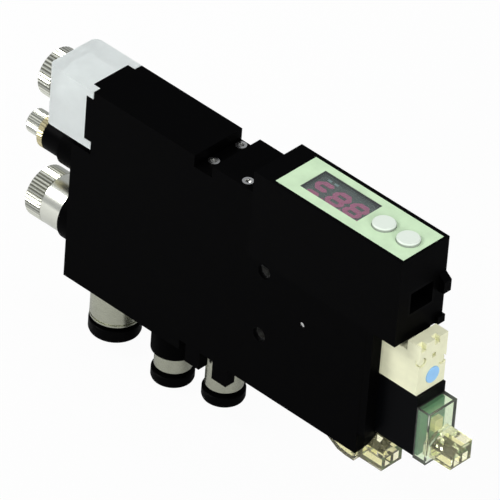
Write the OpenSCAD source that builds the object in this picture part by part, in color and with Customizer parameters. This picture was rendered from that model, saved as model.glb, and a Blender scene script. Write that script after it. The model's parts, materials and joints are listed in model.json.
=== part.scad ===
// Slim vacuum ejector unit: valve and ejector body, filter block, digital pressure switch,
// three push-in fittings and two pilot valves.
// The origin is the centre of the two mounting holes, on the back face of the body.
// +X runs along the body to the pilot valves, +Y out of the back face, +Z up to the display.

/* [Body] */
// Width of the body, front to back
body_w = 17; // [17:0.5:22]
// Distance from the mounting holes to the left end of the body
body_left = 67.1; // [65:0.1:75]
// Distance from the mounting holes to the right end of the body
body_right = 34.3; // [34.3:0.1:40]
// Height of the deck that carries the filter block and the display case
deck_z = 12; // [11.5:0.1:14]
// Depth of the body below the mounting centre at its left end
body_depth = 30; // [29:0.1:33]
// Height of the raised floor below the valves, over the body's lowest face
floor_step = 3; // [2:0.1:4]
// Radius of the two mounting holes
mount_hole_r = 1.6; // [1.3:0.05:1.75]
// Distance between the two mounting holes
mount_pitch = 19.6; // [18:0.1:19.7]
// Wall of the steel bushes in the mounting holes
bush_wall = 0.4; // [0.3:0.05:0.5]

/* [Filter] */
// Height of the top face of the filter block
block_top = 31.4; // [30:0.1:33]
// Left end of the filter block, from the mounting holes
block_left = 63; // [61:0.1:66]
// Length of the filter block without its flange
block_len = 37.4; // [36:0.1:39]
// Length of the notch between filter block and middle block
notch_len = 6.1; // [5:0.1:7]
// Length of the clear filter cover
cover_len = 13.6; // [12:0.1:16]
// Gap between the clear cover and the deck
cover_lift = 1.4; // [0.6:0.1:2]
// Wall of the clear cover
cover_wall = 2; // [1.5:0.1:2.5]
// Radius of the filter bore
filter_bore_r = 6.2; // [5.5:0.1:6.4]
// Outer radius of the filter element
element_r = 5.6; // [4.5:0.1:5.8]
// Radius of the thumb screw knob
thumb_r = 6.8; // [6:0.1:7.5]
// Length of the thumb screw knob
thumb_len = 4.5; // [3:0.1:6]
// Radius of the thumb screw's threaded stud
stud_r = 2; // [1.5:0.05:2.5]

/* [Flow needle] */
// Height of the needle's axis
needle_z = 3.3; // [2.5:0.1:4.5]
// Radius of the needle housing
needle_housing_r = 4.95; // [4.3:0.05:5.4]
// Length of the needle housing outside its boss
needle_housing_len = 6.2; // [4:0.1:8]
// Radius of the needle's knob
needle_knob_r = 3.4; // [2.5:0.1:4.5]
// Length of the needle's knob
needle_knob_len = 4.7; // [3:0.1:6]
// Radius of the needle's stem
needle_stem_r = 1.9; // [1.6:0.05:2.2]
// Radius of the lock nut
lock_nut_r = 5; // [4:0.1:6]
// Thickness of the lock nut
lock_nut_t = 2; // [1.5:0.1:3]

/* [Ejector] */
// Height of the ejector bore's axis
ejector_z = -16.2; // [-16.8:0.1:-15.5]
// Radius of the ejector bore
ejector_bore_r = 4.6; // [4:0.1:5]
// Radius of the knurled cap
cap_r = 7.2; // [6.4:0.1:7.6]
// Length of the cap's knurled band
cap_knurl_len = 5.7; // [4:0.1:7]
// Length of the cap's smooth band outside the body
cap_band_len = 6.7; // [5:0.1:9]
// Throat radius of the nozzle
nozzle_throat_r = 0.5; // [0.3:0.05:0.8]
// Throat radius of the diffuser
diffuser_throat_r = 0.9; // [0.7:0.05:1.2]

/* [Fittings] */
// Tube radius of the large fitting
large_tube_r = 4; // [3.5:0.1:4.2]
// Tube radius of the two small fittings
small_tube_r = 3; // [2.5:0.1:3.1]
// Radius of the large fitting's body
large_body_r = 6.8; // [6.4:0.05:7.2]
// Radius of the small fittings' bodies
small_body_r = 5.05; // [4.8:0.05:5.2]
// Length of the large fitting's body below the valve body
large_body_len = 10.4; // [9:0.1:12]
// Length of the middle fitting's body below its boss
middle_body_len = 5.5; // [5:0.1:7]
// Length of the right fitting's body below the valve body
right_body_len = 13.1; // [11:0.1:15]
// Radius of the large release collar
large_collar_r = 6.95; // [6.3:0.05:7.3]
// Radius of the small release collars
small_collar_r = 5.7; // [4.9:0.05:6]
// Height of the large release collar
large_collar_h = 3.9; // [3:0.1:5]
// Height of the small release collars
small_collar_h = 3.3; // [2.5:0.1:4]

/* [Pressure switch] */
// Height of the display's top face
case_top = 37.7; // [36:0.1:40]
// Length of the display case
case_len = 49.6; // [48:0.1:52]
// Wall of the display case
case_wall = 1.2; // [0.8:0.1:1.5]
// Length of the pale panel
label_len = 42.8; // [42:0.1:44]
// Width of the pale panel
label_w = 14.5; // [13.5:0.1:15]
// Length of the display window
window_len = 19.1; // [17:0.1:20]
// Width of the display window
window_w = 9.2; // [8:0.1:10]
// Radius of the push buttons
button_r = 3.05; // [2.5:0.05:3.3]
// Distance between the push buttons
button_pitch = 8.1; // [7.8:0.1:9]
// How far the push buttons stand above the panel
button_rise = 0.9; // [0.6:0.1:1.5]

/* [Pilot valves] */
// Width of the pilot valves
pilot_w = 10; // [9.6:0.1:10.4]
// Length of the pilot valve's coil across its axis
coil_d = 13.1; // [12.5:0.1:14]
// Length of the pilot valve's coil along its axis
coil_len = 18.3; // [17.5:0.1:18.6]
// Height of the pilot valve's base
pilot_base_h = 12; // [11.5:0.1:12.4]
// Depth of the clear pilot cover
pilot_cover_d = 4.2; // [3.5:0.1:5]
// Radius of the manual override button
override_r = 2.3; // [1.8:0.1:2.6]
// Width of the plug housing
plug_w = 7.4; // [7:0.1:8]
// Length of the plug housing outside the cover
plug_len = 7; // [6:0.1:9]

/* [Fits] */
// Radial clearance of pieces that turn or slide in a bore
running_gap = 0.08; // [0.05:0.01:0.1]
// Gap between flat faces of pieces that move past each other
face_gap = 0.1; // [0.05:0.01:0.15]

/* [Hidden] */
$fn = 64;
mid_y = -body_w / 2;

// Left, middle and right stations along the body.
notch_x0 = block_len - block_left;
notch_x1 = notch_x0 + notch_len;
case_x0 = notch_x1 + 13.7;
case_x1 = case_x0 + case_len;
flange_top = 28;
flange_seat = 22;
raised_floor = floor_step - body_depth;
floor_break_x = -26.3;

// Filter and its thumb screw share the centre of the clear cover.
cover_z0 = deck_z + cover_lift;
filter_z = (cover_z0 + block_top) / 2;
cover_x0 = -block_left - cover_len;
ear_size = 2.3;
ear_gap = 0.2;
washer_t = 0.8;
thumb_face = cover_x0 - washer_t;
filter_end = -36.5;
suction_x = -34;
chamber_end = -31.5;
gasket_r = filter_bore_r + 1.4;
gasket_t = 1;

// Needle valve.
boss_wall = 0.85;
needle_boss_x = -body_left - 7.4;
needle_fit_r = 4;
housing_face = needle_boss_x - needle_housing_len;
nut_face = housing_face - face_gap - lock_nut_t;
knob_face = nut_face - 0.7;
needle_seat_x = -61;
needle_port_x = needle_seat_x - 1.6;
needle_fit_end = -57;
stem_groove_x = -67.3;
stem_ring_r = 0.3;

// Ejector bore, cap and cartridge.
cap_boss_x = -body_left - 4;
cap_face = cap_boss_x - cap_band_len - cap_knurl_len;
cap_seat = 0.2 - body_left;
cap_spigot_r = 5.45;
cap_bore_r = cap_spigot_r + running_gap;
cap_spigot_end = -61;
cartridge_r = ejector_bore_r - 0.05;
ejector_end = -20.5;
exhaust_x = -56;
vacuum_x = -35.2;
supply_x = -17.6;
diffuser_end = -52.5;
nozzle_flange_x = -24;
nozzle_tip_x = -30;
cartridge_ring_r = 0.6;

// Fittings: seat heights, and the stack of ring, collet and seal above the mouth of each bore.
left_seat = -body_depth;
middle_seat = left_seat - 8.8;
right_seat = raised_floor;
left_stem = ejector_z - ejector_bore_r - 2.2 - left_seat;
middle_stem = 7;
right_stem = ejector_z - ejector_bore_r - 1.2 - right_seat;
stem_wall = 1.55;
grip_wall = 1.1;
mouth_lip = 0.5;
ring_gap = 0.8;
ring_reach = 3;
collet_lift = 3.9;
seal_lift = 5;
stop_lift = 6.6;
tube_end_lift = 11;

// Spools, both reached from the right end.
spool_r = 3.45;
spool_bore_r = spool_r + running_gap;
spool_left = 8;
supply_spool_z = 3.5;
release_spool_z = -8;
spring_len = 4.5;
port_x = 20;

// Right end: gasket, plate and the upright pilot valve.
end_gasket_t = 0.5;
end_plate_t = 2;
plate_x0 = body_right + end_gasket_t;
plate_x1 = plate_x0 + end_plate_t;
plate_bottom = -20.5;
base_z0 = -1.8;

// Pilot valves, in their own axes: height from the joint of base and coil, depth from the back.
base_d = coil_d - 0.7;
lip_d0 = 8.2;
lip_h = 3;
core_d = 6;
plunger_r = 2;
plunger_len = 9.8;
override_h = 4;
override_side = 0.4;
override_reach = 4.8;
air_port_h = supply_spool_z - base_z0;
pilot_wall = 0.8;
upright_x = plate_x1 + coil_d;
cover_z0_pilot = base_z0 - coil_len - 0.6;
cover_z1_pilot = base_z0 - 3.2;
upright_plug_z = cover_z0_pilot + 2;
plug_h = 5.8;
plug_side_h = 3.3;

// The second pilot valve lies in a pocket under the body, with its face down.
pocket_gap = 0.1;
lying_joint_x = body_right - pocket_gap - coil_len;
pocket_x0 = lying_joint_x - pilot_base_h - lip_h - pocket_gap;
pocket_top = release_spool_z - spool_bore_r - 2.17;
lying_top = pocket_top - pocket_gap;
lying_face = lying_top - coil_d;
lying_cover_h = 6.2;
lying_cover_x0 = lying_joint_x + 4.5;
lying_cover_x1 = lying_cover_x0 + 10.8;
lying_blind_h = 2.8;
lying_slope_x = lying_cover_x0 + 5.2;
lying_flat_x = lying_cover_x0 + 8;
lying_slope_rise = 0.4;
lying_plug_h = 6;
lying_plug_x1 = 39.3;

// Pressure switch.
label_t = 0.3;
top_plate_t = 1.4;
label_x0 = case_x0 + (case_len - label_len) / 2 + 2.6;
button_x0 = label_x0 + label_len - button_pitch - 4.8;
window_x0 = button_x0 - window_len - 5.4;
window_y0 = mid_y - 4.25;
button_y = mid_y - 0.3;
board_z = 27;
board_t = 1.4;
button_travel = 0.4;
switch_top = 32;
sensor_x = 5;
sensor_y = case_wall + 1.9 - body_w;
sensor_w = 8;
sensor_front = 1.6;
sensor_back = 6;
spout_r = 0.7;
spout_len = 3;
socket_w = 9.6;
socket_h = 7.9;
socket_len = 8.9;

// Screws, plug and drillings.
drill_r = 1.2;
side_x = vacuum_x - 6.8;
side_y = mid_y + 6.2;
side_z = left_seat + 2.1;
supply_y = mid_y + 4.9;
feed_x = -10;
release_r = 1;
release_y = mid_y - 3;
release_drill_z = -2.4;
sensor_drill_z = -5.4;
screw_hole_r = 1;
screw_bite = 7;
screw_head_r = 1.6;
screw_sink = 0.6;
flange_screw_x = notch_x0 + 1.9;
flange_screw_y = [mid_y - 3.4, mid_y + 6.4];
top_screw_x = notch_x1 + 10;
top_screw_y = 2.2 - body_w;
plug_r = 0.8;
plug_x = 13.6;
plug_at_z = 1.2;
stud_end = notch_x0 - 1.6;

// Rings of the cartridge and the cap, and the check valve's pocket.
ring_stations = [diffuser_end + 2.2, -41.5, nozzle_flange_x + 1.6];
cap_groove_x = -64.2;
suction_pocket_r = 4;
seat_t = 1.4;
check_floor = deck_z - 6.8;
disc_z = deck_z - seat_t - 1.05;

// ---- Shapes that repeat -------------------------------------------------------------------

// A box between two corners, each given as a [low, high] range.
module block(x, y, z) {
    translate([x[0], y[0], z[0]]) cube([x[1] - x[0], y[1] - y[0], z[1] - z[0]]);
}

// Cylinders along each axis, between two stations.
module x_cylinder(r, x0, x1, z, y = mid_y) {
    translate([x0, y, z]) rotate([0, 90, 0]) cylinder(r = r, h = x1 - x0);
}

module y_cylinder(r, y0, y1, x, z) {
    translate([x, y1, z]) rotate([90, 0, 0]) cylinder(r = r, h = y1 - y0);
}

module z_cylinder(r, z0, z1, x, y = mid_y) {
    translate([x, y, z0]) cylinder(r = r, h = z1 - z0);
}

// Tubes along X and Z.
module x_tube(r_out, r_in, x0, x1, z) {
    difference() {
        x_cylinder(r_out, x0, x1, z);
        x_cylinder(r_in, x0 - 1, x1 + 1, z);
    }
}

module z_tube(r_out, r_in, z0, z1, x, y = mid_y) {
    difference() {
        z_cylinder(r_out, z0, z1, x, y);
        z_cylinder(r_in, z0 - 1, z1 + 1, x, y);
    }
}

// Pieces turned about the X or Z axis, from a profile of [station, radius] points.
module x_turned(profile, z) {
    translate([0, mid_y, z]) rotate([0, 90, 0]) rotate_extrude()
        polygon([for (p = profile) [p[1], p[0]]]);
}

module z_turned(profile, x) {
    translate([x, mid_y, 0]) rotate_extrude() polygon([for (p = profile) [p[1], p[0]]]);
}

// A rubber ring round the X axis.
module x_ring(r_mid, r_section, x, z) {
    translate([x, mid_y, z]) rotate([0, 90, 0]) rotate_extrude()
        translate([r_mid, 0]) circle(r = r_section, $fn = 24);
}

// A straight-knurled band along X, with its ends chamfered.
module x_knurl(r, teeth, depth, chamfer, x0, x1, z) {
    intersection() {
        translate([x0, mid_y, z]) rotate([0, 90, 0]) linear_extrude(height = x1 - x0)
            polygon([for (i = [0 : 2 * teeth - 1])
                let (a = i * 180 / teeth, tip = i % 2 == 0 ? r : r - depth)
                [tip * cos(a), tip * sin(a)]]);
        x_turned([
            [x0, 0], [x0, r - chamfer], [x0 + chamfer, r + 0.01],
            [x1 - chamfer, r + 0.01], [x1, r - chamfer], [x1, 0]
        ], z);
    }
}

// A round wire coiled along +Z: rings of eight points, swept along the helix.
module coil_spring(r, wire_r, height, turns) {
    sides = 8;
    steps = 14;
    rings = turns * steps;
    lead = height - 2 * wire_r;
    points = [for (i = [0 : rings], k = [0 : sides - 1])
        let (a = i * 360 / steps, b = k * 360 / sides, rr = r + wire_r * cos(b))
        [rr * cos(a), rr * sin(a), wire_r + lead * i / rings + wire_r * sin(b)]];
    walls = [for (i = [0 : rings - 1], k = [0 : sides - 1])
        let (n = (k + 1) % sides)
        [i * sides + k, (i + 1) * sides + k, (i + 1) * sides + n, i * sides + n]];
    start_cap = [for (k = [0 : sides - 1]) k];
    end_cap = [for (k = [sides - 1 : -1 : 0]) rings * sides + k];
    polyhedron(points = points, faces = concat(walls, [start_cap, end_cap]));
}

// ---- Valve body -----------------------------------------------------------------------------

module body_outline() {
    polygon([
        [-body_left, -body_depth], [floor_break_x, -body_depth], [floor_break_x, raised_floor],
        [body_right, raised_floor], [body_right, deck_z], [case_x0, deck_z],
        [case_x0, block_top], [notch_x1, block_top], [notch_x1, flange_seat],
        [notch_x0, flange_seat], [notch_x0, deck_z], [-body_left, deck_z]
    ]);
}

// Round bosses of the needle and cap, the port boss and the two guard lugs by the right port.
module body_bosses() {
    lug_len = 4.9;
    x_cylinder(needle_housing_r + boss_wall, needle_boss_x, 0.5 - body_left, needle_z);
    x_cylinder(cap_r + 0.6, cap_boss_x, 0.5 - body_left, ejector_z);
    z_cylinder(small_body_r + 1.1, middle_seat, left_seat + 0.5, vacuum_x);
    for (x = [supply_x - 6.4, supply_x + 3])
        block([x, x + lug_len], [-body_w, 3.2 - body_w], [raised_floor - 5.4, raised_floor + 0.5]);
}

// Bores for the ejector cartridge, needle, fittings, spools, check valve and pilot pocket.
module body_bores() {
    half_pocket = pilot_w / 2 + pocket_gap;
    x_cylinder(cap_r + 0.1, cap_boss_x - 1, cap_seat + 0.1, ejector_z);
    x_cylinder(cap_bore_r, cap_boss_x, cap_spigot_end + 1.2, ejector_z);
    x_cylinder(ejector_bore_r, cap_spigot_end, ejector_end, ejector_z);
    x_cylinder(needle_fit_r, needle_boss_x - 1, needle_fit_end + 0.1, needle_z);
    z_cylinder(large_tube_r + stem_wall + 0.05, left_seat - 1, left_seat + left_stem, exhaust_x);
    z_cylinder(large_tube_r - 1, left_seat, ejector_z, exhaust_x);
    z_cylinder(small_tube_r + stem_wall + 0.05, middle_seat - 1, middle_seat + middle_stem, vacuum_x);
    z_cylinder(small_tube_r - 1, middle_seat, left_seat + 3.2, vacuum_x);
    z_cylinder(small_tube_r + stem_wall + 0.05, right_seat - 1, right_seat + right_stem, supply_x);
    for (z = [supply_spool_z, release_spool_z])
        x_cylinder(spool_bore_r, spool_left, body_right + 1, z);
    z_cylinder(suction_pocket_r, check_floor, deck_z + 1, suction_x);
    block([pocket_x0, body_right + 1], [mid_y - half_pocket, mid_y + half_pocket],
          [raised_floor - 1, pocket_top]);
}

// Air passages. Suction: check valve down to the ejector, with a branch to the pressure sensor.
module suction_passages() {
    z_cylinder(1.5, ejector_z, check_floor + 1, suction_x);
    y_cylinder(drill_r, mid_y, side_y, vacuum_x, side_z);
    x_cylinder(drill_r, side_x, vacuum_x, side_z, side_y);
    z_cylinder(drill_r, side_z, deck_z + 1, side_x, side_y);
    y_cylinder(0.8, sensor_y, mid_y, suction_x, sensor_drill_z);
    x_cylinder(0.8, suction_x, sensor_x, sensor_drill_z, sensor_y);
    z_cylinder(0.8, sensor_drill_z, deck_z + 1, sensor_x, sensor_y);
}

// Supply: right port to both spools, and the first spool on to the nozzle.
module supply_passages() {
    z_cylinder(drill_r, right_seat + right_stem - 1, supply_spool_z, supply_x, supply_y);
    x_cylinder(drill_r, supply_x, port_x + 4.3, supply_spool_z, supply_y);
    y_cylinder(drill_r, mid_y + 2, supply_y, port_x, supply_spool_z);
    z_cylinder(drill_r, release_spool_z, supply_spool_z, port_x + 4.3, supply_y);
    y_cylinder(drill_r, mid_y + 2, supply_y, port_x + 4.3, release_spool_z);
    x_cylinder(drill_r, ejector_end - 1, feed_x, ejector_z);
    z_cylinder(drill_r, ejector_z, supply_spool_z, feed_x);
    x_cylinder(drill_r, feed_x, spool_left + 0.5, supply_spool_z);
}

// Release: second spool to the needle, the needle on to the suction line, and the pilot ports.
module release_passages() {
    z_cylinder(release_r, release_spool_z + 1, release_drill_z, port_x, release_y);
    x_cylinder(release_r, needle_port_x, port_x, release_drill_z, release_y);
    z_cylinder(release_r, release_drill_z, needle_z - 2.1, needle_port_x, release_y);
    x_cylinder(drill_r, needle_fit_end, suction_x, needle_z);
    z_cylinder(0.8, pocket_top - 1, release_spool_z, lying_joint_x - air_port_h);
}

module body_holes() {
    for (z = [-mount_pitch / 2, mount_pitch / 2])
        y_cylinder(mount_hole_r + bush_wall, -body_w - 1, 1, 0, z);
    y_cylinder(plug_r, -body_w - 1, mid_y, plug_x, plug_at_z);
    for (y = flange_screw_y)
        z_cylinder(screw_hole_r, flange_seat - screw_bite, flange_seat + 1, flange_screw_x, y);
    z_cylinder(screw_hole_r, block_top - screw_bite, block_top + 1, top_screw_x, top_screw_y);
    z_cylinder(screw_head_r, block_top - screw_sink, block_top + 1, top_screw_x, top_screw_y);
}

module valve_body() {
    color([0.03, 0.03, 0.03]) difference() {
        union() {
            rotate([90, 0, 0]) linear_extrude(height = body_w) body_outline();
            body_bosses();
        }
        body_bores();
        suction_passages();
        supply_passages();
        release_passages();
        body_holes();
    }
}

module mount_bushes() {
    color([0.75, 0.75, 0.73]) for (z = [-mount_pitch / 2, mount_pitch / 2]) difference() {
        y_cylinder(mount_hole_r + bush_wall, 1 - body_w, 0, 0, z);
        y_cylinder(mount_hole_r, -body_w, 1, 0, z);
    }
}

module passage_plug() {
    color([0.8, 0.8, 0.78]) y_cylinder(plug_r, 0.3 - body_w, 2.8 - body_w, plug_x, plug_at_z);
}

// A cap screw in its counterbore, with a hexagon socket.
module cap_screw(x, y, seat, head_h, shank) {
    difference() {
        z_cylinder(screw_head_r - 0.12, seat, seat + head_h, x, y);
        translate([x, y, seat + head_h - 0.7]) cylinder(r = 0.85, h = 1, $fn = 6);
    }
    z_cylinder(screw_hole_r - 0.05, seat - shank, seat + 0.01, x, y);
}

module body_screws() {
    color([0.8, 0.8, 0.78]) {
        for (y = flange_screw_y)
            cap_screw(flange_screw_x, y, flange_top - screw_sink, 1,
                      flange_top - flange_seat + screw_bite - 1);
        cap_screw(top_screw_x, top_screw_y, block_top - screw_sink, 0.9, screw_bite - 1);
    }
}

// ---- Filter ---------------------------------------------------------------------------------

module block_outline() {
    polygon([
        [-block_left, deck_z], [notch_x0, deck_z], [notch_x0, flange_seat], [notch_x1, flange_seat],
        [notch_x1, flange_top], [notch_x0, flange_top], [notch_x0, block_top], [-block_left, block_top]
    ]);
}

// The four places for the ears of the clear cover, from a [low, high] size round each corner.
module ear_places(size, x0, x1, bottom) {
    for (y = [[-body_w, size - body_w], [-size, 0]])
        for (z = [[bottom, cover_z0 + size], [block_top - size, block_top]])
            block([x0, x1], y, z);
}

module filter_block() {
    color([0.03, 0.03, 0.03]) difference() {
        rotate([90, 0, 0]) linear_extrude(height = body_w) block_outline();
        x_cylinder(filter_bore_r, -block_left - 1, filter_end, filter_z);
        x_cylinder(gasket_r, -block_left - 1, gasket_t - block_left, filter_z);
        x_cylinder(3.2, filter_end - 1, chamber_end, filter_z);
        x_cylinder(stud_r + running_gap, chamber_end - 1, stud_end + 0.3, filter_z);
        z_cylinder(1.5, deck_z - 1, filter_z, suction_x);
        z_cylinder(drill_r, deck_z - 1, filter_z, side_x, side_y);
        for (y = flange_screw_y) {
            z_cylinder(screw_hole_r + 0.2, flange_seat - 1, flange_top + 1, flange_screw_x, y);
            z_cylinder(screw_head_r, flange_top - screw_sink, flange_top + 1, flange_screw_x, y);
        }
        ear_places(ear_size + ear_gap, -block_left - 1, ear_size + ear_gap - block_left, deck_z - 1);
    }
}

// Clear cover: rounded at its free end, a round chamber inside and an ear at each corner.
module filter_cover() {
    round_r = 2;
    color([0.85, 0.9, 0.88, 0.5]) {
        difference() {
            union() {
                block([cover_x0 + round_r, -block_left], [-body_w, 0], [cover_z0, block_top]);
                block([cover_x0, -block_left - 1], [round_r - body_w, -round_r], [cover_z0, block_top]);
                for (y = [round_r - body_w, -round_r])
                    z_cylinder(round_r, cover_z0, block_top, cover_x0 + round_r, y);
            }
            x_cylinder(filter_bore_r + 0.2, cover_x0 + cover_wall, 1 - block_left, filter_z);
            x_cylinder(stud_r + 0.2, cover_x0 - 1, 0, filter_z);
        }
        ear_places(ear_size, -block_left - 0.01, ear_size - block_left, cover_z0);
    }
}

module cover_gasket() {
    color([0.08, 0.08, 0.08])
        x_tube(gasket_r, filter_bore_r + 0.2, -block_left, gasket_t - block_left, filter_z);
}

module filter_element() {
    color([0.93, 0.93, 0.9])
        x_tube(element_r, stud_r + 0.8, cover_x0 + cover_wall + 0.2, filter_end, filter_z);
}

module thumb_washer() {
    color([0.1, 0.1, 0.1])
        x_tube(stud_r + 2, stud_r + running_gap, thumb_face, cover_x0 - face_gap, filter_z);
}

module thumb_screw() {
    color([0.78, 0.77, 0.72]) {
        x_knurl(thumb_r, 40, 0.35, 0.4, thumb_face - thumb_len, thumb_face, filter_z);
        x_cylinder(stud_r, thumb_face - 0.01, stud_end, filter_z);
    }
}

// ---- Flow needle ----------------------------------------------------------------------------

// Housing pressed into its boss, with a ring groove and cross holes ahead of the needle's seat.
module needle_housing() {
    color([0.04, 0.04, 0.04]) difference() {
        union() {
            x_cylinder(needle_housing_r, housing_face, needle_boss_x, needle_z);
            x_turned([
                [needle_boss_x - 0.01, 0], [needle_boss_x - 0.01, needle_fit_r],
                [needle_port_x - 0.9, needle_fit_r], [needle_port_x - 0.9, needle_fit_r - 0.8],
                [needle_port_x + 0.9, needle_fit_r - 0.8], [needle_port_x + 0.9, needle_fit_r],
                [needle_fit_end, needle_fit_r], [needle_fit_end, 0]
            ], needle_z);
        }
        x_cylinder(needle_stem_r + running_gap, housing_face - 1, needle_seat_x, needle_z);
        x_cylinder(0.9, needle_seat_x - 1, needle_fit_end + 1, needle_z);
        y_cylinder(0.7, mid_y - 5, mid_y + 5, needle_port_x, needle_z);
        z_cylinder(0.7, needle_z - 5, needle_z + 5, needle_port_x);
    }
}

module lock_nut() {
    color([0.72, 0.6, 0.35]) difference() {
        x_knurl(lock_nut_r, 36, 0.25, 0.3, nut_face, nut_face + lock_nut_t, needle_z);
        x_cylinder(needle_stem_r + running_gap, nut_face - 1, nut_face + lock_nut_t + 1, needle_z);
    }
}

module needle_seal() {
    color([0.1, 0.1, 0.1]) x_ring(needle_stem_r - stem_ring_r + 0.02, stem_ring_r, stem_groove_x, needle_z);
}

// Knob, stem with its ring groove, and the tapered needle, turned in one piece.
module needle_knob() {
    groove_r = needle_stem_r - 2 * stem_ring_r;
    groove = stem_ring_r + 0.1;
    color([0.78, 0.77, 0.72]) {
        x_knurl(needle_knob_r, 30, 0.25, 0.4, knob_face - needle_knob_len, knob_face, needle_z);
        x_turned([
            [knob_face - 0.01, 0], [knob_face - 0.01, needle_stem_r],
            [stem_groove_x - groove, needle_stem_r], [stem_groove_x - groove, groove_r],
            [stem_groove_x + groove, groove_r], [stem_groove_x + groove, needle_stem_r],
            [needle_seat_x - 2.6, needle_stem_r], [needle_seat_x - 0.8, 0.6],
            [needle_seat_x + 1.8, 0.45], [needle_seat_x + 1.8, 0]
        ], needle_z);
    }
}

// ---- Ejector --------------------------------------------------------------------------------

// Knurled cap: grip band, smooth band and a hollow spigot with a ring groove.
module ejector_cap() {
    knurl_end = cap_face + cap_knurl_len;
    color([0.78, 0.77, 0.72]) difference() {
        union() {
            x_knurl(cap_r, 46, 0.35, 0.4, cap_face, knurl_end, ejector_z);
            x_cylinder(cap_r - 0.05, knurl_end - 0.01, cap_seat, ejector_z);
            x_turned([
                [cap_seat - 0.01, 0], [cap_seat - 0.01, cap_spigot_r],
                [cap_groove_x - 0.8, cap_spigot_r], [cap_groove_x - 0.8, cap_spigot_r - 0.95],
                [cap_groove_x + 0.8, cap_spigot_r - 0.95], [cap_groove_x + 0.8, cap_spigot_r],
                [cap_spigot_end - 0.1, cap_spigot_r], [cap_spigot_end - 0.1, 0]
            ], ejector_z);
        }
        x_cylinder(3.6, cap_face + 2, cap_spigot_end + 1, ejector_z);
    }
}

module cap_seal() {
    color([0.1, 0.1, 0.1]) x_ring(cap_spigot_r - 0.45, 0.44, cap_groove_x, ejector_z);
}

// Spacer that holds the cartridge, with a window over the exhaust port.
module ejector_sleeve() {
    color([0.6, 0.6, 0.6]) difference() {
        x_tube(cartridge_r, 3.6, cap_spigot_end + 0.1, diffuser_end, ejector_z);
        z_cylinder(2.6, ejector_z - 6, ejector_z, exhaust_x);
    }
}

// Diffuser: two ring grooves, a slim inlet inside a windowed cage, and a waisted bore.
module diffuser() {
    inlet_x = -31.5;
    cage_x = nozzle_flange_x;
    groove_r = cartridge_r - 2 * cartridge_ring_r + 0.05;
    color([0.7, 0.7, 0.72]) difference() {
        union() {
            x_turned([
                [diffuser_end, 0], [diffuser_end, cartridge_r],
                [ring_stations[0] - 0.8, cartridge_r], [ring_stations[0] - 0.8, groove_r],
                [ring_stations[0] + 0.8, groove_r], [ring_stations[0] + 0.8, cartridge_r],
                [ring_stations[0] + 2, cartridge_r], [ring_stations[0] + 2, 3.4],
                [ring_stations[1] - 2, 3.4], [ring_stations[1] - 2, cartridge_r],
                [ring_stations[1] - 0.8, cartridge_r], [ring_stations[1] - 0.8, groove_r],
                [ring_stations[1] + 0.8, groove_r], [ring_stations[1] + 0.8, cartridge_r],
                [suction_x - 3, cartridge_r], [suction_x - 3, 2.7], [inlet_x, 2.3], [inlet_x, 0]
            ], ejector_z);
            x_tube(cartridge_r, 3.6, suction_x - 3.01, cage_x, ejector_z);
        }
        x_turned([
            [diffuser_end - 1, 0], [diffuser_end - 1, 2.2], [diffuser_end, 2.2],
            [diffuser_end + 8, diffuser_throat_r], [diffuser_end + 14, diffuser_throat_r],
            [inlet_x, 1.9], [inlet_x + 1, 1.9], [inlet_x + 1, 0]
        ], ejector_z);
        for (a = [0, 90]) translate([0, mid_y, ejector_z]) rotate([a, 0, 0])
            block([suction_x - 2, cage_x - 1.5], [-1.6, 1.6], [-6, 6]);
    }
}

// Nozzle: ringed flange, tapered nose, and a bore that narrows to the throat and opens again.
module nozzle() {
    groove_r = cartridge_r - 2 * cartridge_ring_r + 0.05;
    ring_x = ring_stations[2];
    color([0.72, 0.6, 0.35]) difference() {
        x_turned([
            [nozzle_tip_x, 0], [nozzle_tip_x, 1.2], [nozzle_flange_x - 3, 3.2],
            [nozzle_flange_x, 3.2], [nozzle_flange_x, cartridge_r],
            [ring_x - 0.8, cartridge_r], [ring_x - 0.8, groove_r],
            [ring_x + 0.8, groove_r], [ring_x + 0.8, cartridge_r],
            [ejector_end - 0.1, cartridge_r], [ejector_end - 0.1, 0]
        ], ejector_z);
        x_turned([
            [nozzle_tip_x - 1, 0], [nozzle_tip_x - 1, nozzle_throat_r * 1.6],
            [nozzle_tip_x, nozzle_throat_r * 1.6], [nozzle_tip_x + 2, nozzle_throat_r],
            [nozzle_tip_x + 3, nozzle_throat_r], [nozzle_flange_x - 1.2, 2.4],
            [ejector_end + 1, 2.4], [ejector_end + 1, 0]
        ], ejector_z);
    }
}

module cartridge_seals() {
    color([0.1, 0.1, 0.1]) for (x = ring_stations)
        x_ring(cartridge_r - cartridge_ring_r + 0.05, cartridge_ring_r - 0.05, x, ejector_z);
}

// ---- Check valve between filter and ejector ---------------------------------------------------

module check_seat() {
    color([0.72, 0.6, 0.35]) z_tube(suction_pocket_r, 1.6, deck_z - seat_t, deck_z, suction_x);
}

module check_disc() {
    color([0.15, 0.15, 0.15]) {
        z_cylinder(3.2, disc_z, disc_z + 1, suction_x);
        z_cylinder(1.1, disc_z - 1, disc_z + 0.01, suction_x);
    }
}

module check_spring() {
    color([0.7, 0.7, 0.7]) translate([suction_x, mid_y, check_floor])
        coil_spring(2, 0.25, disc_z - check_floor - 0.02, 5);
}

// ---- Push-in fittings -------------------------------------------------------------------------

// Metal body: a stem in the valve body, a bore for the grip parts and a stop for the tube's end.
module fitting_body(x, seat, stem, body_r, len, tube_r) {
    end = seat - len;
    difference() {
        union() {
            z_turned([
                [end, 0], [end, body_r - mouth_lip], [end + mouth_lip, body_r - 0.1],
                [end + mouth_lip, body_r], [seat, body_r], [seat, 0]
            ], x);
            z_cylinder(tube_r + stem_wall, seat - 0.01, seat + stem - 1, x);
        }
        z_cylinder(tube_r + grip_wall, end - 1, end + stop_lift, x);
        z_cylinder(tube_r + running_gap, end, end + tube_end_lift, x);
        z_cylinder(tube_r - 1, end, seat + stem, x);
    }
}

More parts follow.
